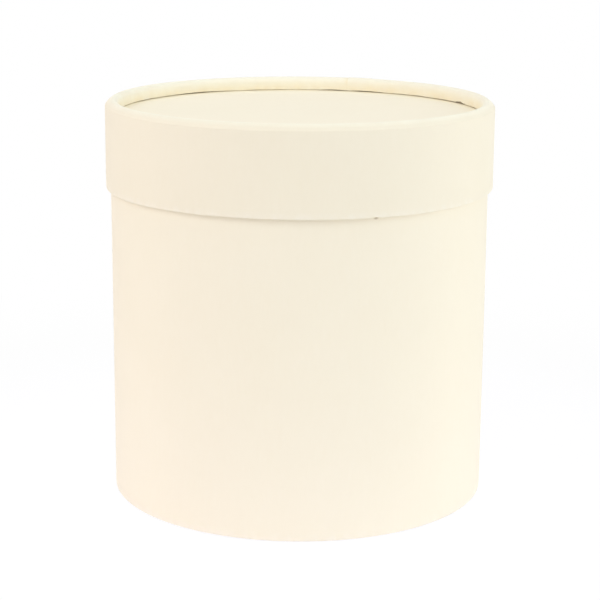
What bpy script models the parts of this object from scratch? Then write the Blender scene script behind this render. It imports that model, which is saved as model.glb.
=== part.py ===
"""Round flower box: a wound board tube with a pressed-in base, and a lift-off lid with a rolled rim.

Each wall is board or paper turned about the box's own axis, so each piece is a profile spun once
round. Metres, +Z up, the lid lifting along +Z, with the origin at the centre of the underside.
"""

import math

import bmesh
import bpy
from mathutils import Vector

MM = 0.001
FACETS = 72  # flats round every piece, alike everywhere so that neighbours stay parallel
SHOULDER_STEPS = 4  # flats over the outer quarter of the rolled rim
ROLL_STEPS = 3  # flats over its inner quarter
SHARP_EDGE = math.radians(35.0)  # edges that turn more than this stay sharp

# Driving sizes
BOX_HEIGHT = 185.0 * MM  # floor to the top of the rim, lid on
BODY_RADIUS = 87.8 * MM  # outside of the box below its lid
SKIRT_HEIGHT = 40.0 * MM  # lid's lower edge to the top of its rim
RIM_SHOULDER = 3.5 * MM  # rounding of the rolled rim, from the lid's side up to its top
RIM_ROLL = 2.6 * MM  # tighter rounding from its top down to the mouth
RIM_LEG = 3.6 * MM  # straight part of the rim below that, on the inside

# Stock
PAPER = 0.15 * MM  # cover and lining paper
BODY_BOARD = 2.0 * MM  # wall of the box
BASE_BOARD = 2.0 * MM  # disc pressed into the foot of the box
LID_BOARD = 1.0 * MM  # wall of the lid, thin enough to be rolled over
TOP_BOARD = 2.0 * MM  # disc in the lid

# Fits
GLUE_LINE = 0.3 * MM  # a sheet to what it is glued to
LID_CLEARANCE = 0.3 * MM  # box to lid, all round
LIP_SEAT = 0.3 * MM  # box's lip to the lid's lining
RIM_CREVICE = 0.3 * MM  # lower edge of the rolled rim to the lid's top paper
DISC_FIT = 0.3 * MM  # a disc's edge to the wall round it
BUTT_GAP = 0.3 * MM  # between the edges of two sheets that meet

# Turned-in edges of the papers
LIP_FLAP = 15.0 * MM  # cover paper down inside the box's lip
BASE_FLAP = 12.0 * MM  # cover paper in under the base
SKIRT_FLAP = 12.0 * MM  # cover paper up inside the lid's lower edge
LINING_DROP = 4.0 * MM  # box's lip down to the upper edge of its lining
UNDER_PAPER_INSET = 2.5 * MM  # outside of the box to the edge of the paper under it

sheet = PAPER + GLUE_LINE  # what each glued sheet adds to a wall
fold = sheet  # corner that a cover paper cuts off at each folded edge

# Radii of the box, from the outside in
body_tube_radius = BODY_RADIUS - sheet
body_bore_radius = body_tube_radius - BODY_BOARD
lip_flap_radius = body_bore_radius - sheet
body_lining_radius = lip_flap_radius - sheet
floor_lining_radius = body_lining_radius - DISC_FIT

# Radii of the lid, from the inside out
lid_face_radius = BODY_RADIUS + LID_CLEARANCE
lid_bore_radius = lid_face_radius + sheet
lid_tube_radius = lid_bore_radius + LID_BOARD
lid_radius = lid_tube_radius + sheet
lid_disc_radius = lid_bore_radius - DISC_FIT
rim_crest_radius = lid_radius - RIM_SHOULDER
rim_mouth_radius = rim_crest_radius - RIM_ROLL

# Levels of the box's foot, from the floor up
base_flap_level = PAPER + GLUE_LINE
base_level = base_flap_level + sheet
floor_lining_level = base_level + BASE_BOARD + GLUE_LINE

# Levels of the lid and the lip, from the rim down
rim_end_level = BOX_HEIGHT - RIM_ROLL - RIM_LEG
top_paper_level = rim_end_level - RIM_CREVICE - PAPER
top_disc_level = top_paper_level - GLUE_LINE - TOP_BOARD
lid_lining_level = top_disc_level - sheet
lip_level = lid_lining_level - LIP_SEAT
skirt_level = BOX_HEIGHT - SKIRT_HEIGHT
skirt_flap_level = skirt_level + SKIRT_FLAP


def clear_scene():
    for old in list(bpy.data.objects):
        bpy.data.objects.remove(old)


def add_carrier(name):
    """An empty on the box's axis, which carries the pieces that move together."""
    carrier = bpy.data.objects.new(name, None)
    bpy.context.scene.collection.objects.link(carrier)
    return carrier


def matt_stock(name, colour, roughness):
    material = bpy.data.materials.new(name)
    material.use_nodes = True
    shader = material.node_tree.nodes["Principled BSDF"]
    shader.inputs["Base Color"].default_value = (*colour, 1.0)
    shader.inputs["Roughness"].default_value = roughness
    shader.inputs["Metallic"].default_value = 0.0
    return material


def add_piece(name, shape, material, carrier):
    mesh = bpy.data.meshes.new(name)
    shape.to_mesh(mesh)
    shape.free()
    mesh.materials.append(material)
    mesh.shade_smooth()
    mesh.set_sharp_from_angle(angle=SHARP_EDGE)
    piece = bpy.data.objects.new(name, mesh)
    piece.parent = carrier
    bpy.context.scene.collection.objects.link(piece)
    return piece


def turned(profile, closed):
    """A profile of (radius, height) points, spun once round the box's axis, facing outwards."""
    shape = bmesh.new()
    points = [shape.verts.new((0.0, radius, height)) for radius, height in profile]
    lines = [shape.edges.new(ends) for ends in zip(points, points[1:])]
    if closed:
        lines.append(shape.edges.new((points[-1], points[0])))
    bmesh.ops.spin(
        shape,
        geom=points + lines,
        cent=Vector(),
        axis=Vector((0.0, 0.0, 1.0)),
        angle=math.tau,
        steps=FACETS,
        use_merge=True,
    )
    bmesh.ops.recalc_face_normals(shape, faces=shape.faces)
    return shape


def add_sheet(name, profile, thickness, material, carrier):
    """A sheet turned along its shown side, with its thickness behind that side."""
    piece = add_piece(name, turned(profile, closed=False), material, carrier)
    wall = piece.modifiers.new("thickness", "SOLIDIFY")
    wall.thickness = thickness
    wall.offset = -1.0
    wall.use_even_offset = True
    wall.use_quality_normals = True


def add_tube(name, inner, wall, low, high, material, carrier):
    outer = inner + wall
    corners = [(outer, low), (outer, high), (inner, high), (inner, low)]
    add_piece(name, turned(corners, closed=True), material, carrier)


def add_disc(name, radius, low, thickness, material, carrier):
    shape = bmesh.new()
    bmesh.ops.create_cone(
        shape,
        cap_ends=True,
        segments=FACETS,
        radius1=radius,
        radius2=radius,
        depth=thickness,
    )
    piece = add_piece(name, shape, material, carrier)
    piece.location.z = low + thickness / 2


def quarter_turns(steps):
    return [math.pi / 2 * step / steps for step in range(steps + 1)]


def over_rim(shoulder, roll, top):
    """Points over the rim from its outside to its mouth: two quarter circles that meet at its crest."""
    rising = quarter_turns(SHOULDER_STEPS)[:-1]
    falling = quarter_turns(ROLL_STEPS)
    outside = [
        (rim_crest_radius + shoulder * math.cos(a), top - shoulder + shoulder * math.sin(a))
        for a in rising
    ]
    inside = [(rim_crest_radius - roll * math.sin(a), top - roll + roll * math.cos(a)) for a in falling]
    return outside + inside


def add_body_tube(board, box):
    add_tube("body_tube", body_bore_radius, BODY_BOARD, base_level, lip_level - sheet, board, box)


def add_base_disc(board, box):
    add_disc("base_disc", body_bore_radius - DISC_FIT, base_level, BASE_BOARD, board, box)


def add_body_cover(paper, box):
    """Cover paper: in under the base, up the outside, over the lip and a little way down inside."""
    around = [
        (BODY_RADIUS - BASE_FLAP, base_flap_level),
        (BODY_RADIUS - fold, base_flap_level),
        (BODY_RADIUS, base_flap_level + fold),
        (BODY_RADIUS, lip_level - fold),
        (BODY_RADIUS - fold, lip_level),
        (lip_flap_radius + fold, lip_level),
        (lip_flap_radius, lip_level - fold),
        (lip_flap_radius, lip_level - LIP_FLAP),
    ]
    add_sheet("body_cover_paper", around, PAPER, paper, box)


def add_body_lining(paper, box):
    """Lining paper round the inside, which laps over the cover paper's edge below the lip."""
    high = lip_level - LINING_DROP
    add_tube("body_lining_paper", body_lining_radius, PAPER, floor_lining_level, high, paper, box)


def add_floor_lining(paper, box):
    add_disc("floor_lining_paper", floor_lining_radius, floor_lining_level, PAPER, paper, box)


def add_under_paper(paper, box):
    """Paper that the box stands on, over the turned-in edge of its cover."""
    add_disc("base_under_paper", BODY_RADIUS - UNDER_PAPER_INSET, 0.0, PAPER, paper, box)


def add_lid_tube(board, lid):
    """Board of the lid's side, its upper edge rolled inwards and down to the top disc."""
    rolled = [
        (lid_tube_radius, skirt_level + sheet),
        *over_rim(RIM_SHOULDER - sheet, RIM_ROLL - sheet, BOX_HEIGHT - sheet),
        (rim_mouth_radius + sheet, rim_end_level),
    ]
    add_sheet("lid_tube", rolled, LID_BOARD, board, lid)


def add_lid_cover(paper, lid):
    """Cover paper: up inside the lower edge, up the outside and over the rolled rim."""
    around = [
        (lid_face_radius, skirt_flap_level),
        (lid_face_radius, skirt_level + fold),
        (lid_face_radius + fold, skirt_level),
        (lid_radius - fold, skirt_level),
        (lid_radius, skirt_level + fold),
        *over_rim(RIM_SHOULDER, RIM_ROLL, BOX_HEIGHT),
        (rim_mouth_radius, rim_end_level),
    ]
    add_sheet("lid_cover_paper", around, PAPER, paper, lid)


def add_lid_disc(board, lid):
    """Board disc pressed up against the lower edge of the rolled rim."""
    add_disc("lid_top_disc", lid_disc_radius, top_disc_level, TOP_BOARD, board, lid)


def add_lid_top_paper(paper, lid):
    add_disc("lid_top_paper", lid_disc_radius, top_paper_level, PAPER, paper, lid)


def add_lid_lining_disc(paper, lid):
    """Lining under the top disc, which comes down on the box's lip."""
    add_disc("lid_lining_disc", lid_disc_radius, lid_lining_level, PAPER, paper, lid)


def add_lid_lining_strip(paper, lid):
    """Lining round the inside of the lid, between the cover's edge and the lining disc."""
    low = skirt_flap_level + BUTT_GAP
    high = lid_lining_level - BUTT_GAP
    add_tube("lid_lining_strip", lid_face_radius, PAPER, low, high, paper, lid)


def main():
    clear_scene()
    cover = matt_stock("cream_cover_paper", (0.92, 0.85, 0.69), 0.55)
    lining = matt_stock("ivory_lining_paper", (0.93, 0.89, 0.79), 0.7)
    board = matt_stock("grey_board", (0.42, 0.36, 0.28), 0.85)

    box = add_carrier("box")
    add_body_tube(board, box)
    add_base_disc(board, box)
    add_body_cover(cover, box)
    add_body_lining(lining, box)
    add_floor_lining(lining, box)
    add_under_paper(cover, box)

    lid = add_carrier("lid")
    add_lid_tube(board, lid)
    add_lid_cover(cover, lid)
    add_lid_disc(board, lid)
    add_lid_top_paper(cover, lid)
    add_lid_lining_disc(lining, lid)
    add_lid_lining_strip(lining, lid)


main()
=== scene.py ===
import bmesh
import bpy
import numpy as np
from mathutils import Matrix, Vector


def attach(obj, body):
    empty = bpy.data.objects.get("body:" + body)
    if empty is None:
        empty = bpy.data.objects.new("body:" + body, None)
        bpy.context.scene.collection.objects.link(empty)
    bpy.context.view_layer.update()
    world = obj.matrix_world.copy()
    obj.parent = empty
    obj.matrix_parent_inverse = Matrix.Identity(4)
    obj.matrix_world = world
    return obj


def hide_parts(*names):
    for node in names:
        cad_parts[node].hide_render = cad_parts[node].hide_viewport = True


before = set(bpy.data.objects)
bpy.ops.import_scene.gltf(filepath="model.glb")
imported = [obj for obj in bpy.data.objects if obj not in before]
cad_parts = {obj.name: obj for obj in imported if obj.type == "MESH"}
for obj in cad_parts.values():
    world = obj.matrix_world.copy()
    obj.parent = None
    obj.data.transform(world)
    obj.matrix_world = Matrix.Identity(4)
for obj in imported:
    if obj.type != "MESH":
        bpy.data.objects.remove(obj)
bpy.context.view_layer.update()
print("frame loaded:", ", ".join(sorted(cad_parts)))

mm = 0.001
tau = 2 * np.pi
hair = 1e-7  # metres: points closer than this are one point
touch = 0.01 * mm  # a CAD point this close to a height or radius lies on it
upright = 0.9  # a point whose normal leans outwards by this much is on an upright wall
sharpTurn = np.radians(40.0)  # faces that turn by more than this meet in a sharp edge
white = (1.0, 1.0, 1.0, 1.0)


# Radius and height of every point of a CAD node, which its paper or board is measured from
def ringPoints(node):
    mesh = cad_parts[node].data
    places = np.empty(len(mesh.vertices) * 3, np.float32)
    mesh.vertices.foreach_get("co", places)
    places = places.reshape(-1, 3).astype(float)
    return np.hypot(places[:, 0], places[:, 1]), places[:, 2]


underRadius, underHeight = ringPoints("base_under_paper")
coverRadius, coverHeight = ringPoints("body_cover_paper")
lidRadius, lidHeight = ringPoints("lid_cover_paper")
stripRadius, stripHeight = ringPoints("lid_lining_strip")
paper = underHeight.max() - underHeight.min()  # thickness of every sheet
glueLine = coverHeight.min() - underHeight.max()  # gap that the CAD leaves between two sheets
lapHeight = 1.1 * paper  # how far a sheet rises where it laps over its own start


# 0 up to t = 0, 1 from t = 1, and t squared times (3 - 2t) between
def smooth(t):
    t = np.clip(t, 0.0, 1.0)
    return t * t * (3.0 - 2.0 * t)


# Bell curve: 1 at no distance, and e to the power of minus (distance / spread) squared elsewhere
def bell(distance, spread):
    return np.exp(-((distance / spread) ** 2))


# Sum of cosines: each wave is (size, turns round the axis, waves per metre along, phase)
def ripple(angles, along, waves):
    angles = np.asarray(angles)[:, None]
    along = np.asarray(along)[None, :]
    return sum(
        size * np.cos(turns * angles + tau * rate * along + phase) for size, turns, rate, phase in waves
    )


# Start plus a sum of sines round the axis: each wave is (size, turns, phase)
def wander(angles, waves, start=0.0):
    return sum((size * np.sin(turns * angles + phase) for size, turns, phase in waves), start)


# Smaller way round from one angle to the others, between minus and plus half a turn
def turnFrom(angles, angle):
    return np.angle(np.exp(1j * (angles - angle)))


# Sum of bell curves round the axis: each bump is (angle in degrees, half width in degrees, height)
def bumps(angles, listed):
    total = np.zeros_like(angles)
    for angle, spread, high in listed:
        total += high * bell(np.degrees(turnFrom(angles, np.radians(angle))), spread)
    return total


# Uneven creases round a folded edge: a sine raised to a power, its spacing and size both wandering
def creases(angles, crease):
    turn = wander(angles, crease["spacingWaves"], crease["count"] * angles)
    size = wander(angles, crease["sizeWaves"], crease["size"])
    return (size * (0.5 + 0.5 * np.sin(turn)) ** crease["sharpness"])[:, None]


# A line of straight runs in the (radius, height) plane whose corners are rounded: each corner is
# cut back by arc * tan(turn / 2) and an arc of that radius put in. The shown side is on its right.
def foldedPath(corners, arcs, spacing, arcPoints=9):
    corners = np.array(corners, float)
    places, headings = [], []
    here = corners[0]
    for k, corner in enumerate(corners[1:], 1):
        heading = (corner - here) / np.linalg.norm(corner - here)
        last = k == len(corners) - 1
        if last:
            stop, turn = corner, 0.0
        else:
            onward = corners[k + 1] - corner
            onward /= np.linalg.norm(onward)
            turn = np.arctan2(heading[0] * onward[1] - heading[1] * onward[0], heading @ onward)
            stop = corner - heading * arcs[k - 1] * np.tan(abs(turn) / 2)
        count = max(2, int(np.ceil(np.linalg.norm(stop - here) / spacing)) + 1)
        share = np.linspace(0.0, 1.0, count)[: None if last else -1, None]
        places.append(here + (stop - here) * share)
        headings.append(np.repeat(heading[None], len(share), 0))
        if not last:
            bend = np.linspace(0.0, abs(turn), arcPoints)[:-1, None]
            left = np.array([-heading[1], heading[0]]) * np.sign(turn)
            places.append(stop + arcs[k - 1] * (np.sin(bend) * heading + (1 - np.cos(bend)) * left))
            headings.append(np.cos(bend) * heading + np.sin(bend) * left)
            end = abs(turn)
            here = stop + arcs[k - 1] * (np.sin(end) * heading + (1 - np.cos(end)) * left)
    places = np.vstack(places)
    headings = np.vstack(headings)
    steps = np.linalg.norm(np.diff(places, axis=0), axis=1)
    return {
        "radius": places[:, 0],
        "height": places[:, 1],
        "outR": headings[:, 1],
        "outZ": -headings[:, 0],
        "along": np.concatenate([[0.0], np.cumsum(steps)]),
    }


# Marks on the papers, and how each breaks up: painted rim light makes the paper over the rolled rim
# pale nearly all over as a painted highlight; glue stain at a seam, and painted shade and warm bounce
# by the lid's crevice, lie in soft clouds; rubbed edges break up finely, and the wear mark also paints
# the rim's inner leg paler as painted light
markNoise = {
    "stretch": {"Scale": 90.0, "Break Low": 0.0, "Break High": 0.6},
    "stain": {"Scale": 110.0, "Break Low": 0.15, "Break High": 0.6},
    "wear": {"Scale": 260.0, "Break Low": 0.42, "Break High": 0.62},
}


# A sheet turned round the axis. Point (u, v) is the path's point v carried to angle u, pushed out
# along the path's normal by push(u, v) and raised by rise(u, v); its back is one sheet behind.
def turnedSheet(name, path, angles, push=0.0, rise=0.0, closed=False, pole=None, **marks):
    angles = np.asarray(angles)[:, None]
    shape = (angles.shape[0], len(path["radius"]))
    sides = []
    for depth in (0.0, paper):
        out = np.broadcast_to(push, shape) - depth
        radius = path["radius"] + path["outR"] * out
        height = path["height"] + path["outZ"] * out + rise
        sides.append(np.stack([radius * np.cos(angles), radius * np.sin(angles), height], -1))
    total = shape[0] * shape[1]
    grid = np.arange(total).reshape(shape)
    if closed:
        grid = np.vstack([grid, grid[:1]])
    shown = np.stack([grid[:-1, :-1], grid[1:, :-1], grid[1:, 1:], grid[:-1, 1:]], -1).reshape(-1, 4)
    rims = []
    if pole != "start":
        rims.append(grid[:, 0])
    if pole != "end":
        rims.append(grid[::-1, -1])
    if not closed:
        rims += [grid[0, ::-1], grid[-1]]
    edges = [np.stack([rim[1:], rim[:-1], rim[:-1] + total, rim[1:] + total], -1) for rim in rims]
    faces = np.vstack([shown, shown[:, ::-1] + total, *edges])
    mesh = bpy.data.meshes.new(name)
    mesh.from_pydata(np.concatenate(sides).reshape(-1, 3).tolist(), [], faces.tolist())
    for mark in markNoise:
        share = np.broadcast_to(marks.get(mark, 0.0), shape).astype(np.float32)
        laid = mesh.attributes.new(mark, "FLOAT", "POINT")
        laid.data.foreach_set("value", np.tile(share.ravel(), 2))
    if pole:
        work = bmesh.new()
        work.from_mesh(mesh)
        bmesh.ops.remove_doubles(work, verts=work.verts, dist=hair)
        work.to_mesh(mesh)
        work.free()
    mesh.shade_smooth()
    mesh.set_sharp_from_angle(angle=sharpTurn)
    piece = bpy.data.objects.new(name, mesh)
    bpy.context.scene.collection.objects.link(piece)
    return piece


def dress(piece, material, body, node):
    piece.data.materials.append(material)
    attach(piece, body)
    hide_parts(node)
    print("made", piece.name, "for", node)


# Angles of a sheet that goes once round and laps over its own start, closer together at the step,
# and rounded so that none of them comes twice
def lapAngles(size, radius, stepPoints=7, decimals=9):
    over = size["seam"] + tau
    whole = np.linspace(size["seam"], over + size["lap"] / radius, size["angles"])
    step = over + np.linspace(-size["lapRamp"], 0.0, stepPoints) / radius
    return np.unique(np.round(np.concatenate([whole, step]), decimals))


# 0 where the sheet lies on its board, and one sheet and its glue where it lies on its own start
def lapLift(angles, size, radius):
    past = (angles - size["seam"] - tau) * radius + size["lapRamp"]
    return (smooth(past / size["lapRamp"]) * lapHeight)[:, None]


# Glue pressed out beside a lapped edge: a bell curve round the axis, highest at the edge
def seamGlue(angles, size, radius):
    away = (angles - size["seam"]) * radius - size["lap"]
    return size["glueShare"] * bell(away, size["glueSpread"])[:, None]


def place(tree, kind, inputs=None, **settings):
    node = tree.nodes.new(kind)
    for name, value in settings.items():
        setattr(node, name, value)
    for name, value in (inputs or {}).items():
        if isinstance(value, bpy.types.NodeSocket):
            tree.links.new(value, node.inputs[name])
        else:
            node.inputs[name].default_value = value
    return node


def calculate(tree, operation, *values, clamp=False):
    inputs = dict(enumerate(values))
    return place(tree, "ShaderNodeMath", inputs, operation=operation, use_clamp=clamp).outputs[0]


# A value carried from one range to another and held at its ends, with a soft start and stop if eased
def remap(tree, value, start, stop, low=0.0, high=1.0, eased=False):
    inputs = {"Value": value, "From Min": start, "From Max": stop, "To Min": low, "To Max": high}
    curve = "SMOOTHSTEP" if eased else "LINEAR"
    return place(tree, "ShaderNodeMapRange", inputs, interpolation_type=curve).outputs["Result"]


def blendColours(tree, share, under, over):
    inputs = {"Factor": share, "A": under, "B": over}
    return place(tree, "ShaderNodeMix", inputs, data_type="RGBA").outputs["Result"]


def newGroup(name, inputs, outputs):
    group = bpy.data.node_groups.new(name, "ShaderNodeTree")
    for title, kind, value in inputs:
        made = group.interface.new_socket(name=title, in_out="INPUT", socket_type=kind)
        if value is not None:
            made.default_value = value
    for title, kind in outputs:
        group.interface.new_socket(name=title, in_out="OUTPUT", socket_type=kind)
    return group, place(group, "NodeGroupInput").outputs, place(group, "NodeGroupOutput").inputs


# Paper pulp: slow clouds in its tone, short fibres that lie one way, and a fine grain
def makePulpGroup():
    group, given, result = newGroup(
        "paperPulp",
        [
            ("Vector", "NodeSocketVector", None),
            ("Tone", "NodeSocketColor", (0.9, 0.85, 0.7, 1.0)),
            ("Deep Tone", "NodeSocketColor", (0.85, 0.8, 0.65, 1.0)),
            ("Cloud Scale", "NodeSocketFloat", 30.0),
            ("Fibre Scale", "NodeSocketFloat", 700.0),
            ("Grain Scale", "NodeSocketFloat", 2200.0),
            ("Contrast", "NodeSocketFloat", 0.3),
        ],
        [("Color", "NodeSocketColor"), ("Roughness", "NodeSocketFloat"), ("Height", "NodeSocketFloat")],
    )
    where = given["Vector"]
    clouds = {"Vector": where, "Scale": given["Cloud Scale"], "Detail": 3.0}
    cloud = place(group, "ShaderNodeTexNoise", clouds).outputs["Fac"]
    laid = place(group, "ShaderNodeMapping", {"Vector": where, "Scale": (1.0, 1.0, 0.22)})
    fibres = {
        "Vector": laid.outputs["Vector"],
        "Scale": given["Fibre Scale"],
        "Detail": 2.0,
        "Distortion": 0.6,
    }
    fibre = place(group, "ShaderNodeTexNoise", fibres).outputs["Fac"]
    grains = {"Vector": where, "Scale": given["Grain Scale"], "Detail": 2.0}
    grain = place(group, "ShaderNodeTexNoise", grains).outputs["Fac"]
    # the two noises add up to 1 on average, and there the tone is half way
    centred = calculate(group, "SUBTRACT", calculate(group, "ADD", cloud, fibre), 1.0)
    share = calculate(group, "MULTIPLY_ADD", centred, given["Contrast"], 0.5, clamp=True)
    group.links.new(blendColours(group, share, given["Deep Tone"], given["Tone"]), result["Color"])
    fibreRelief = 0.8  # beside the grain's
    group.links.new(calculate(group, "MULTIPLY_ADD", fibre, fibreRelief, grain), result["Height"])
    rough = remap(group, grain, start=0.3, stop=0.7, low=0.5, high=0.68)
    group.links.new(rough, result["Roughness"])
    return group


# A mark on the paper: where its share is high, a broken noise lets the mark's colour through
def makeMarkGroup():
    group, given, result = newGroup(
        "paperMark",
        [
            ("Vector", "NodeSocketVector", None),
            ("Color", "NodeSocketColor", (0.9, 0.85, 0.7, 1.0)),
            ("Mark Color", "NodeSocketColor", (0.95, 0.93, 0.88, 1.0)),
            ("Mark", "NodeSocketFloat", 0.0),
            ("Scale", "NodeSocketFloat", 260.0),
            ("Break Low", "NodeSocketFloat", 0.42),
            ("Break High", "NodeSocketFloat", 0.62),
            ("Amount", "NodeSocketFloat", 0.4),
        ],
        [("Color", "NodeSocketColor")],
    )
    patches = {"Vector": given["Vector"], "Scale": given["Scale"], "Detail": 5.0, "Roughness": 0.65}
    patch = place(group, "ShaderNodeTexNoise", patches).outputs["Fac"]
    broken = remap(group, patch, given["Break Low"], given["Break High"])
    near = calculate(group, "MULTIPLY", broken, given["Mark"])
    mask = calculate(group, "MULTIPLY", near, given["Amount"], clamp=True)
    group.links.new(blendColours(group, mask, given["Color"], given["Mark Color"]), result["Color"])
    return group


pulpGroup = makePulpGroup()
markGroup = makeMarkGroup()


# A speck's share: 1 at its centre on the box's outside, falling to 0 at the edge of an ellipsoid of
# its size
def speckShare(tree, where, speck):
    radius = coverRadius.max()
    centre = (radius * np.cos(speck["angle"]), radius * np.sin(speck["angle"]), speck["height"])
    away = place(tree, "ShaderNodeVectorMath", {0: where, 1: centre}, operation="SUBTRACT")
    inputs = {0: away.outputs["Vector"], 1: speck["size"]}
    ratio = place(tree, "ShaderNodeVectorMath", inputs, operation="DIVIDE").outputs["Vector"]
    reach = place(tree, "ShaderNodeVectorMath", {0: ratio}, operation="LENGTH").outputs["Value"]
    return remap(tree, reach, start=0.0, stop=1.0, low=1.0, high=0.0, eased=True)


def layMark(tree, where, colour, share, tone, amount, noise):
    inputs = {
        "Vector": where,
        "Color": colour,
        "Mark Color": (*tone, 1.0),
        "Mark": share,
        "Amount": amount,
        **noise,
    }
    return place(tree, "ShaderNodeGroup", inputs, node_tree=markGroup).outputs["Color"]


def paperMaterial(name, look):
    material = bpy.data.materials.new(name)
    material.use_nodes = True
    tree = material.node_tree
    shader = tree.nodes["Principled BSDF"]
    where = place(tree, "ShaderNodeTexCoord").outputs["Object"]
    inputs = {
        "Vector": where,
        "Tone": (*look["tone"], 1.0),
        "Deep Tone": (*look["deepTone"], 1.0),
        "Cloud Scale": look["cloudScale"],
        "Fibre Scale": look["fibreScale"],
        "Grain Scale": look["grainScale"],
        "Contrast": look["contrast"],
    }
    pulp = place(tree, "ShaderNodeGroup", inputs, node_tree=pulpGroup).outputs
    colour = pulp["Color"]
    for mark, noise in markNoise.items():
        tone, amount = look[mark]
        share = place(tree, "ShaderNodeAttribute", attribute_name=mark, attribute_type="GEOMETRY")
        colour = layMark(tree, where, colour, share.outputs["Fac"], tone, amount, noise)
    if "speck" in look:
        speck = look["speck"]
        share = speckShare(tree, where, speck)
        colour = layMark(tree, where, colour, share, speck["tone"], speck["amount"], speck["noise"])
    tree.links.new(colour, shader.inputs["Base Color"])
    tree.links.new(pulp["Roughness"], shader.inputs["Roughness"])
    relief = {"Height": pulp["Height"], "Strength": look["bumpStrength"], "Distance": look["bumpDepth"]}
    bump = place(tree, "ShaderNodeBump", relief)
    tree.links.new(bump.outputs["Normal"], shader.inputs["Normal"])
    shader.inputs["Specular IOR Level"].default_value = look["shine"]
    return material


# Painted shade on the box: a dark speck close under the nick in the lid's lower edge, where the shade
# under the lid is deepest
nickShade = {
    "angle": np.radians(-68.2),
    "height": 144.25 * mm,
    "size": (1.65 * mm, 1.65 * mm, 0.8 * mm),
    "tone": (0.4, 0.29, 0.15),
    "amount": 0.6,
    "noise": {"Scale": 900.0, "Break Low": 0.0, "Break High": 0.45},
}
# Each look's painted rim light, stain and shade, and wear are the mark's tone and how much of it shows;
# stain and shade is glue stain at seams, and painted shade and warm bounce by the lid's crevice
coverLook = {
    "tone": (0.915, 0.845, 0.69),
    "deepTone": (0.9, 0.825, 0.66),
    "stretch": ((0.93, 0.9, 0.76), 0.8),
    "stain": ((0.88, 0.76, 0.5), 0.7),
    "wear": ((0.93, 0.89, 0.79), 0.35),
    "cloudScale": 32.0,
    "fibreScale": 650.0,
    "grainScale": 2300.0,
    "contrast": 0.8,
    "bumpStrength": 0.25,
    "bumpDepth": 0.06 * mm,
    "shine": 0.35,
}
liningLook = {
    "tone": (0.92, 0.885, 0.79),
    "deepTone": (0.9, 0.86, 0.76),
    "stretch": ((0.94, 0.92, 0.86), 0.0),
    "stain": ((0.86, 0.79, 0.62), 0.4),
    "wear": ((0.94, 0.92, 0.86), 0.2),
    "cloudScale": 24.0,
    "fibreScale": 480.0,
    "grainScale": 1700.0,
    "contrast": 0.9,
    "bumpStrength": 0.3,
    "bumpDepth": 0.08 * mm,
    "shine": 0.25,
}
boardLook = {
    "tone": (0.4, 0.335, 0.24),
    "deepTone": (0.27, 0.215, 0.145),
    "stretch": ((0.5, 0.44, 0.35), 0.0),
    "stain": ((0.3, 0.24, 0.15), 0.0),
    "wear": ((0.5, 0.44, 0.35), 0.0),
    "cloudScale": 60.0,
    "fibreScale": 380.0,
    "grainScale": 1300.0,
    "contrast": 1.6,
    "bumpStrength": 0.6,
    "bumpDepth": 0.15 * mm,
    "shine": 0.2,
}
# The box's paper carries the painted shade speck, and the lid's paper is made a shade deeper all over
# as painted shade on the lid
boxLook = {**coverLook, "speck": nickShade}
lidShadedLook = {**coverLook, "tone": (0.895, 0.825, 0.672), "deepTone": (0.88, 0.805, 0.643)}
coverPaper = paperMaterial("coverPaper", coverLook)
boxPaper = paperMaterial("boxPaper", boxLook)
lidShadedPaper = paperMaterial("lidShadedPaper", lidShadedLook)
liningPaper = paperMaterial("liningPaper", liningLook)
greyBoard = paperMaterial("greyBoard", boardLook)
print("papers and board mixed")

teeth = {"count": 40, "waves": [(0.09, 3, 1.0), (0.05, 8, 2.0)]}


# The cover folds in under the foot in overlapping teeth of uneven width. This is how far round its
# tooth a point is, from 0 to 1: the fraction of a count of teeth that wanders round the axis
def toothShare(angles):
    turn = wander(angles, teeth["waves"], teeth["count"] * angles / tau)
    return (turn - np.floor(turn))[:, None]


bodyCover = {
    "seam": np.radians(97.0),
    "lap": 12.0 * mm,
    "lapRamp": 1.4 * mm,
    "glueSpread": 2.2 * mm,
    "glueShare": 0.7,
    "footArc": 0.75 * mm,
    "lipArc": 0.8 * mm,
    "spacing": 4.0 * mm,
    "angles": 600,
    "wallFade": 6.0 * mm,  # the wall's ripple dies away over this beside its folds
    "waves": [
        (0.05 * mm, 3, 2.0, 0.4),
        (0.035 * mm, 7, -4.0, 2.1),
        (0.02 * mm, 12, 6.0, 4.4),
        (0.012 * mm, 23, 11.0, 1.2),
    ],
    "toothLift": 0.1 * mm,
    "toothFade": 2.0 * mm,
    "creaseLift": 0.06 * mm,
    "creaseStart": 1.2 * mm,  # in from the outside
    "creaseFade": 1.5 * mm,
    "creases": {
        "count": 74,
        "sharpness": 3.0,
        "spacingWaves": [(1.6, 5, 0.0), (1.1, 13, 0.0)],
        "size": 0.55,
        "sizeWaves": [(0.3, 4, 1.7), (0.15, 11, 0.4)],
    },
    "footWear": 1.4 * mm,
    "lipWear": 1.2 * mm,
    "lipWearShare": 0.7,
}


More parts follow.
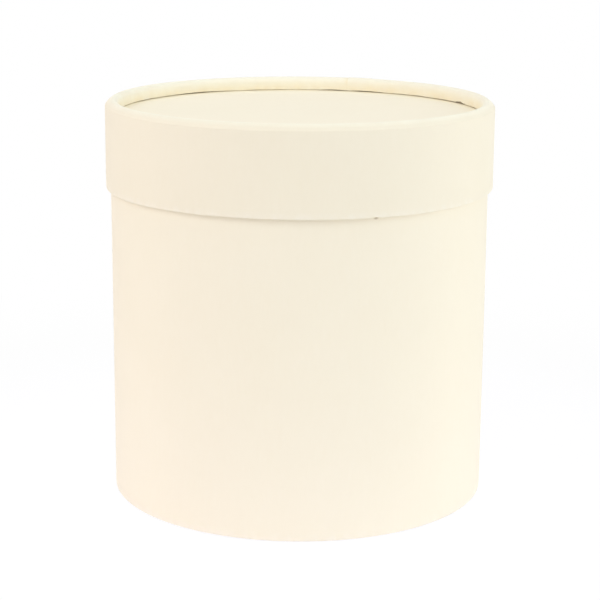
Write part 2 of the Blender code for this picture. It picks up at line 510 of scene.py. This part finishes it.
# The box's cover comes in from under the foot, goes up the wall, over the lip and down inside. It is
# pushed out by its lap, a ripple on the wall, each tooth under the foot and small creases over the lip
def makeBodyCover(size):
    outer, foot, lip = coverRadius.max(), coverHeight.min(), coverHeight.max()
    upper = coverHeight > (lip + foot) / 2
    inside = coverRadius[upper].min()
    flapEnd = coverHeight[upper].min()
    path = foldedPath(
        [(coverRadius.min(), foot), (outer, foot), (outer, lip), (inside, lip), (inside, flapEnd)],
        [size["footArc"], size["lipArc"], size["lipArc"]],
        size["spacing"],
    )
    angles = lapAngles(size, outer)
    inwards = outer - path["radius"]
    fromFoot = path["height"] - foot
    fromLip = lip - path["height"]
    wall = smooth(fromFoot / size["wallFade"]) * smooth(fromLip / size["wallFade"])
    wall = wall * (path["outR"] > upright)
    under = smooth(inwards / size["toothFade"]) * (path["height"] < lip / 2)
    within = smooth((inwards - size["creaseStart"]) / size["creaseFade"]) * (path["height"] > lip / 2)
    push = lapLift(angles, size, outer)
    push = push + ripple(angles, path["along"], size["waves"]) * wall
    push = push + size["toothLift"] * toothShare(angles) * under
    push = push + size["creaseLift"] * creases(angles, size["creases"]) * within
    folds = bell(np.hypot(inwards, fromFoot), size["footWear"])
    folds = folds + size["lipWearShare"] * bell(np.hypot(inwards, fromLip), size["lipWear"])
    glue = seamGlue(angles, size, outer)
    return turnedSheet("bodyCover", path, angles, push, wear=folds, stain=glue)


dress(makeBodyCover(bodyCover), boxPaper, "box", "body_cover_paper")

underPaper = {
    "rings": 1.2 * mm,
    "angles": 600,
    "notch": 7.5 * mm,  # how far the gaps between teeth reach outwards
    "notchSharpness": 5,
    "recess": 0.22 * mm,
    "stepWidth": 1.3 * mm,
    "toothLift": 0.06 * mm,
    "edgeFade": 2.0 * mm,
    "edgeWear": 1.5 * mm,
}


# The paper under the foot lies on the teeth at its rim and sinks between and inside them:
# its recess is 1 where the radius is less than the teeth's outline, and falls to 0 over stepWidth.
def makeUnderPaper(size):
    outer = underRadius.max()
    path = foldedPath([(0.0, 0.0), (outer, 0.0)], [], size["rings"])
    angles = np.linspace(0.0, tau, size["angles"], endpoint=False)
    inwards = outer - path["radius"]
    share = toothShare(angles)
    outline = coverRadius.min() + size["notch"] * np.abs(2 * share - 1) ** size["notchSharpness"]
    inside = 1 - smooth((path["radius"] - outline) / size["stepWidth"])
    laid = size["toothLift"] * share * (1 - inside) * smooth(inwards / size["edgeFade"])
    rise = size["recess"] * inside + laid
    wear = bell(inwards, size["edgeWear"])
    return turnedSheet("underPaper", path, angles, rise=rise, closed=True, pole="start", wear=wear)


dress(makeUnderPaper(underPaper), coverPaper, "box", "base_under_paper")

bodyLining = {
    "seam": np.radians(128.0),
    "lap": 10.0 * mm,
    "lapRamp": 1.2 * mm,
    "glueSpread": 2.0 * mm,
    "glueShare": 1.0,
    "spacing": 4.0 * mm,
    "angles": 420,
    "edgeWander": 0.18 * mm,
    "edgeWaves": [(1.0, 3, 0.7), (0.5, 8, 2.0)],
    "edgeFade": 5.0 * mm,
    "waves": [(0.05 * mm, 4, 3.0, 1.1), (0.04 * mm, 9, -7.0, 0.3), (0.025 * mm, 17, 12.0, 3.9)],
}


# The box's lining: a ring pushed in by its lap and a ripple, whose upper edge wanders up and down
def makeBodyLining(size):
    radius, height = ringPoints("body_lining_paper")
    inner = radius.min()
    path = foldedPath([(inner, height.max()), (inner, height.min())], [], size["spacing"])
    angles = lapAngles(size, inner)
    push = lapLift(angles, size, inner) + ripple(angles, path["along"], size["waves"])
    edge = np.exp(-path["along"] / size["edgeFade"])
    rise = size["edgeWander"] * wander(angles, size["edgeWaves"])[:, None] * edge
    glue = seamGlue(angles, size, inner)
    return turnedSheet("bodyLining", path, angles, push, rise, wear=edge, stain=glue)


dress(makeBodyLining(bodyLining), liningPaper, "box", "body_lining_paper")

liningDisc = {
    "rings": 2.0 * mm,
    "angles": 240,
    "waves": [
        (0.035 * mm, 2, 22.0, 0.2),
        (0.03 * mm, 5, -34.0, 1.9),
        (0.02 * mm, 9, 48.0, 4.0),
        (0.012 * mm, 16, 70.0, 2.6),
    ],
    "middleShare": 0.5,  # the swell grows from the middle over this share of the radius
    "edgeShare": 0.08,  # and dies away at the edge over this one
    "edgeWear": 1.5 * mm,
    "glueSpread": 3.0 * mm,
}
topDisc = {
    **liningDisc,
    "rings": 1.0 * mm,
    # the top paper's stain spreads wide: glue at its edge, and a painted warm bounce tint by the
    # crevice
    "glueSpread": 7.0 * mm,
    "paintedShadeFrom": lidRadius.min(),  # beyond this radius, under the rim, painted shade darkens the top paper where the crevice shows it
    "paintedShadeShare": 2.0,
    "paintedShadeFade": 0.8 * mm,
}


# A paper disc glued flat: a slow swell that dies away at the middle and at its edge. Its glue stain
# shows as a bell curve in from the edge, and on the lid's top paper painted shade is added under the
# rim, where the crevice shows it
def paperDisc(name, node, faceUp, size):
    radius, height = ringPoints(node)
    outer = radius.max()
    level = height.max() if faceUp else height.min()
    line = [(outer, level), (0.0, level)] if faceUp else [(0.0, level), (outer, level)]
    path = foldedPath(line, [], size["rings"])
    angles = np.linspace(0.0, tau, size["angles"], endpoint=False)
    share = path["radius"] / outer
    swell = ripple(angles, path["along"], size["waves"]) * smooth(share / size["middleShare"])
    swell = swell * smooth((1 - share) / size["edgeShare"])
    edge = bell(outer - path["radius"], size["edgeWear"])
    glue = bell(outer - path["radius"], size["glueSpread"])
    if "paintedShadeFrom" in size:
        # painted shade under the rim, seen through the crevice
        paintedShade = smooth((path["radius"] - size["paintedShadeFrom"]) / size["paintedShadeFade"])
        glue = glue + size["paintedShadeShare"] * paintedShade
    pole = "end" if faceUp else "start"
    return turnedSheet(name, path, angles, push=swell, closed=True, pole=pole, wear=edge, stain=glue)


floorLining = paperDisc("floorLining", "floor_lining_paper", True, liningDisc)
lidTopPaper = paperDisc("lidTopPaper", "lid_top_paper", True, topDisc)
lidLiningDisc = paperDisc("lidLiningDisc", "lid_lining_disc", False, liningDisc)
dress(floorLining, liningPaper, "box", "floor_lining_paper")
dress(lidTopPaper, coverPaper, "lid", "lid_top_paper")
dress(lidLiningDisc, liningPaper, "lid", "lid_lining_disc")

lidLining = {
    "seam": np.radians(60.0),
    "lap": 10.0 * mm,
    "lapRamp": 1.2 * mm,
    "glueSpread": 1.8 * mm,
    "glueShare": 1.0,
    "spacing": 2.5 * mm,
    "angles": 400,
    "edgeWear": 2.0 * mm,
    "waves": [(0.02 * mm, 5, 8.0, 1.1), (0.015 * mm, 11, -15.0, 0.3)],
}


# The lid's lining strip: a ring pushed in by its lap and a ripple, rubbed along its lower edge
def makeLidLining(size):
    inner = stripRadius.min()
    path = foldedPath([(inner, stripHeight.max()), (inner, stripHeight.min())], [], size["spacing"])
    angles = lapAngles(size, inner)
    along = path["along"]
    push = lapLift(angles, size, inner) + ripple(angles, along, size["waves"])
    lower = np.exp((along - along[-1]) / size["edgeWear"])
    glue = seamGlue(angles, size, inner)
    return turnedSheet("lidLining", path, angles, push, wear=lower, stain=glue)


dress(makeLidLining(lidLining), liningPaper, "lid", "lid_lining_strip")

lidCover = {
    "seam": np.radians(65.8),
    "lap": 12.0 * mm,
    "lapRamp": 1.4 * mm,
    "glueSpread": 2.2 * mm,
    "glueShare": 0.7,
    "hemArc": 0.35 * mm,
    # corners of the rolled shoulder: in from the lid's side, down from its top, and their rounding
    "shoulder": [(0.0, 2.75 * mm), (1.1 * mm, 1.35 * mm), (2.87 * mm, 0.0)],
    "shoulderArcs": [0.7 * mm, 3.0 * mm],
    "spacing": 3.0 * mm,
    "angles": 600,
    "wallFade": 5.0 * mm,
    "waves": [(0.04 * mm, 3, 5.0, 2.4), (0.03 * mm, 6, -9.0, 0.6), (0.015 * mm, 14, 16.0, 3.3)],
    "hemWander": 0.12 * mm,
    "hemWaves": [(1.0, 2, 0.5), (0.6, 5, 1.3), (0.3, 13, 0.0)],
    "hemSkew": 0.3 * mm,  # the skirt is cut a little long on its left
    "hemFade": 3.0 * mm,
    # where the hem hangs lower than that: angle, half width, height
    "hemBends": [
        (-163.0, 9.0, -0.22 * mm),
        (-143.0, 18.0, -0.38 * mm),
        (-75.0, 11.0, -0.28 * mm),
        (-52.0, 14.0, -0.32 * mm),
        (5.0, 14.0, -0.15 * mm),
        (178.0, 16.0, -0.35 * mm),
    ],
    "hemWear": 1.2 * mm,
    "nickAngle": np.radians(-68.8),
    "nickWidth": 1.2 * mm,
    "nickRise": 0.5 * mm,
    "nickFade": 1.0 * mm,
    "creaseLift": 0.08 * mm,
    "creases": {
        "count": 96,
        "sharpness": 3.0,
        "spacingWaves": [(1.6, 5, 0.8), (1.1, 13, 1.6)],
        "size": 0.55,
        "sizeWaves": [(0.3, 4, 2.5), (0.15, 11, 0.4)],
    },
    # the leg is the straight end of the paper inside the rim, down to the top paper
    "legWander": 0.045 * mm,
    "legWaves": [(1.0, 17, 0.0), (0.6, 41, 1.0), (0.5, 90, 0.0)],
    "legFade": 2.0 * mm,
    # painted light: a share of the wear mark on the leg makes the rim's inside paler
    "legPaintedLight": 0.5,
    "legPaintedBounce": 2.6 * mm,  # how far up the rim's inside a painted warm bounce tint reaches from the crevice
    "legSink": -0.15 * mm,  # as low as the rim's inner edge may come
    # where the rim's inner edge stands off the top paper: angle, half width, height
    "standOff": [
        (141.0, 6.0, 0.05 * mm),
        (126.0, 7.0, 0.27 * mm),
        (111.5, 5.0, -0.17 * mm),
        (100.0, 4.0, -0.04 * mm),
        (90.5, 6.0, -0.2 * mm),
        (78.0, 3.5, 0.22 * mm),
        (72.6, 1.6, -0.15 * mm),
        (67.5, 4.0, 0.17 * mm),
        (33.0, 4.0, 0.05 * mm),
        (25.6, 0.7, 0.25 * mm),
        (23.2, 1.9, 0.8 * mm),
        (20.2, 0.5, 0.2 * mm),
        (12.0, 3.0, 0.15 * mm),
    ],
}


# The lid's cover comes down inside the skirt, goes round the hem, up the side and over the rolled rim
# to its mouth. It is pushed out by its lap and a ripple and in by creases at the mouth, and its hem
# and its inner edge rise and fall by sums of sines and bell curves round the axis
def makeLidCover(size):
    outer, mouth = lidRadius.max(), lidRadius.min()
    top, hem = lidHeight.max(), lidHeight.min()
    inside = stripRadius.min()
    legEnd = lidHeight[lidRadius < mouth + touch].min()
    crest = lidRadius[lidHeight > top - touch].mean()
    roll = crest - mouth
    skirt = [(inside, stripHeight.min() - glueLine), (inside, hem), (outer, hem)]
    shoulder = [(outer - across, top - down) for across, down in size["shoulder"]]
    lean = np.arctan2(shoulder[-1][1] - shoulder[-2][1], shoulder[-2][0] - shoulder[-1][0])
    crestArc = (shoulder[-1][0] - crest) / np.tan(lean / 2)
    path = foldedPath(
        [*skirt, *shoulder, (mouth, top), (mouth, legEnd)],
        [size["hemArc"], size["hemArc"], *size["shoulderArcs"], crestArc - hair, roll - hair],
        size["spacing"],
    )
    angles = lapAngles(size, outer)
    along = path["along"]
    fromHem = path["height"] - hem
    upper = path["height"] > (top + hem) / 2
    wall = smooth(fromHem / size["wallFade"]) * (path["outR"] > 0)
    # painted highlight: the paper over the rolled rim and down its inside is painted paler
    overRim = smooth((outer - path["radius"]) / (outer - crest)) * upper
    inward = smooth((crest - path["radius"]) / roll) * upper
    leg = smooth((along - along[-1]) / size["legFade"] + 1) * inward
    push = lapLift(angles, size, outer) + ripple(angles, along, size["waves"]) * wall
    push = push - size["creaseLift"] * creases(angles, size["creases"]) * inward
    hemLine = size["hemWander"] * wander(angles, size["hemWaves"]) + size["hemSkew"] * np.cos(angles)
    hemLine = hemLine + bumps(angles, size["hemBends"])
    rise = hemLine[:, None] * np.exp(-np.abs(fromHem) / size["hemFade"])
    nick = bell(turnFrom(angles, size["nickAngle"]) * outer, size["nickWidth"])[:, None]
    rise = rise + size["nickRise"] * nick * bell(fromHem, size["nickFade"])
    gap = size["legWander"] * wander(angles, size["legWaves"]) + bumps(angles, size["standOff"])
    rise = rise + np.maximum(gap, size["legSink"])[:, None] * leg
    # the hem's rubbed wear, and painted light on the leg
    folds = bell(fromHem, size["hemWear"]) + size["legPaintedLight"] * leg
    # painted warm bounce and shade up the rim's inside from the crevice, beside the seam's glue stain
    paintedBounce = inward * bell(along[-1] - along, size["legPaintedBounce"])
    glue = np.maximum(seamGlue(angles, size, outer), paintedBounce)
    return turnedSheet("lidCover", path, angles, push, rise, wear=folds, stain=glue, stretch=overRim)


# the lid's cover gets the deeper paper, which paints shade on the lid
dress(makeLidCover(lidCover), lidShadedPaper, "lid", "lid_cover_paper")

for name in ("body_tube", "base_disc", "lid_tube", "lid_top_disc"):
    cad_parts[name].material_slots[0].material = greyBoard
print("boards dressed")

studio = {
    "skyStrength": 0.2,
    "floorTone": (0.93, 0.93, 0.93, 1.0),
    "floorSize": 14.0,
    "floorDrop": 0.2 * mm,
    "glowStrength": 0.31,  # the white table shines a little round the box, which lights its foot
    "glowTint": (0.735, 0.674, 1.0, 1.0),
    "glowNear": 0.16,  # out from the box's axis
    "glowFar": 0.32,
    "whiteShare": 0.9,  # how much plain white the floor shows beside the box, all of it further out
    "whiteNear": 0.18,
    "whiteFar": 0.42,
}


def blankTree(owner):
    owner.use_nodes = True
    owner.node_tree.nodes.clear()
    return owner.node_tree


# 1 for the rays that look at the background: straight from the camera, mirrored, or let through
def lookingRays(tree):
    ray = place(tree, "ShaderNodeLightPath").outputs
    seen = calculate(tree, "MAXIMUM", ray["Is Camera Ray"], ray["Is Glossy Ray"])
    return calculate(tree, "MAXIMUM", seen, ray["Is Transmission Ray"])


def mixShaders(tree, share, first, second):
    inputs = {0: share, 1: first.outputs[0], 2: second.outputs[0]}
    return place(tree, "ShaderNodeMixShader", inputs).outputs[0]


# A white floor, which looking rays see as plain white but for a share of its own light and shadow
# by the box
def makeFloor(size):
    half = size["floorSize"] / 2
    level = -size["floorDrop"]
    mesh = bpy.data.meshes.new("floor")
    corners = [(-half, -half, level), (half, -half, level), (half, half, level), (-half, half, level)]
    mesh.from_pydata(corners, [], [(0, 1, 2, 3)])
    floor = bpy.data.objects.new("floor", mesh)
    bpy.context.scene.collection.objects.link(floor)
    material = bpy.data.materials.new("floorWhite")
    tree = blankTree(material)
    where = place(tree, "ShaderNodeTexCoord").outputs["Object"]
    reach = place(tree, "ShaderNodeVectorMath", {0: where}, operation="LENGTH").outputs["Value"]
    fall = remap(tree, reach, size["glowNear"], size["glowFar"], size["glowStrength"], 0.0, eased=True)
    own = remap(tree, reach, size["whiteNear"], size["whiteFar"], size["whiteShare"], 1.0, eased=True)
    matt = place(tree, "ShaderNodeBsdfDiffuse", {"Color": size["floorTone"]})
    glow = place(tree, "ShaderNodeEmission", {"Color": size["glowTint"], "Strength": fall})
    lit = place(tree, "ShaderNodeAddShader", {0: matt.outputs[0], 1: glow.outputs[0]})
    plain = place(tree, "ShaderNodeEmission", {"Color": white, "Strength": 1.0})
    share = calculate(tree, "MULTIPLY", lookingRays(tree), own)
    place(tree, "ShaderNodeOutputMaterial", {"Surface": mixShaders(tree, share, lit, plain)})
    mesh.materials.append(material)


def makeSky(size):
    world = bpy.data.worlds.new("studioSky")
    bpy.context.scene.world = world
    tree = blankTree(world)
    light = place(tree, "ShaderNodeBackground", {"Color": white, "Strength": size["skyStrength"]})
    plain = place(tree, "ShaderNodeBackground", {"Color": white, "Strength": 1.0})
    mixed = mixShaders(tree, lookingRays(tree), light, plain)
    place(tree, "ShaderNodeOutputWorld", {"Surface": mixed})


makeFloor(studio)
makeSky(studio)

# Square soft lamps in metres and watts, all turned to the middle of the box
lampAim = (0.0, 0.0, 0.09)
lamps = {
    "topLamp": {"place": (0.0, 0.0, 1.6), "size": 1.2, "power": 4.0, "tint": (0.952, 1.0, 0.98)},
    "frontHigh": {"place": (0.0, -1.15, 1.2), "size": 0.8, "power": 3.5, "tint": (0.966, 0.983, 1.0)},
    "leftHigh": {"place": (-1.1, -0.7, 1.15), "size": 0.8, "power": 7.75, "tint": (1.0, 1.0, 1.0)},
    "rightHigh": {"place": (1.1, -0.7, 1.15), "size": 0.8, "power": 3.75, "tint": (0.925, 0.979, 1.0)},
    "leftMid": {"place": (-1.3, -0.9, 0.5), "size": 0.6, "power": 3.1, "tint": (1.0, 0.948, 0.974)},
    "rightMid": {"place": (1.3, -0.9, 0.5), "size": 0.6, "power": 4.8, "tint": (0.93, 0.967, 1.0)},
    "leftSide": {"place": (-1.5, -0.1, 0.45), "size": 1.0, "power": 1.95, "tint": (1.0, 0.7, 0.625)},
    "rightSide": {"place": (1.5, -0.1, 0.45), "size": 1.0, "power": 5.1, "tint": (0.945, 0.992, 1.0)},
    "leftBack": {"place": (-1.1, 0.7, 1.15), "size": 0.8, "power": 2.4, "tint": (1.0, 1.0, 1.0)},
    "rightBack": {"place": (1.1, 0.7, 1.15), "size": 0.8, "power": 2.4, "tint": (1.0, 1.0, 1.0)},
    "backHigh": {"place": (0.0, 1.15, 1.2), "size": 0.8, "power": 2.4, "tint": (1.0, 1.0, 1.0)},
}


def makeLamp(name, lamp):
    light = bpy.data.lights.new(name, "AREA")
    light.size = lamp["size"]
    light.energy = lamp["power"]
    light.color = lamp["tint"]
    made = bpy.data.objects.new(name, light)
    aim = Vector(lampAim) - Vector(lamp["place"])
    turned = aim.to_track_quat("-Z", "Y").to_matrix().to_4x4()
    made.matrix_world = Matrix.Translation(lamp["place"]) @ turned
    made.visible_camera = False
    bpy.context.scene.collection.objects.link(made)


for name, lamp in lamps.items():
    makeLamp(name, lamp)
print("studio lit")

view = {
    "place": (0.6 * mm, -828.0 * mm, 289.0 * mm),
    "tiltDown": 0.2374,  # radians below the horizon
    "turn": 0.0073,  # radians that the camera is rolled
    "lens": 107.45,
    "sensor": 36.0,
    "farthest": 50.0,
}


def makeCamera(size):
    camera = bpy.data.cameras.new("camera")
    camera.sensor_width = size["sensor"]
    camera.lens = size["lens"]
    camera.clip_end = size["farthest"]
    made = bpy.data.objects.new("camera", camera)
    tilt = Matrix.Rotation(np.pi / 2 - size["tiltDown"], 4, "X")
    roll = Matrix.Rotation(size["turn"], 4, "Z")
    made.matrix_world = Matrix.Translation(size["place"]) @ tilt @ roll
    bpy.context.scene.collection.objects.link(made)
    bpy.context.scene.camera = made


makeCamera(view)
bpy.context.scene.view_settings.view_transform = "Standard"
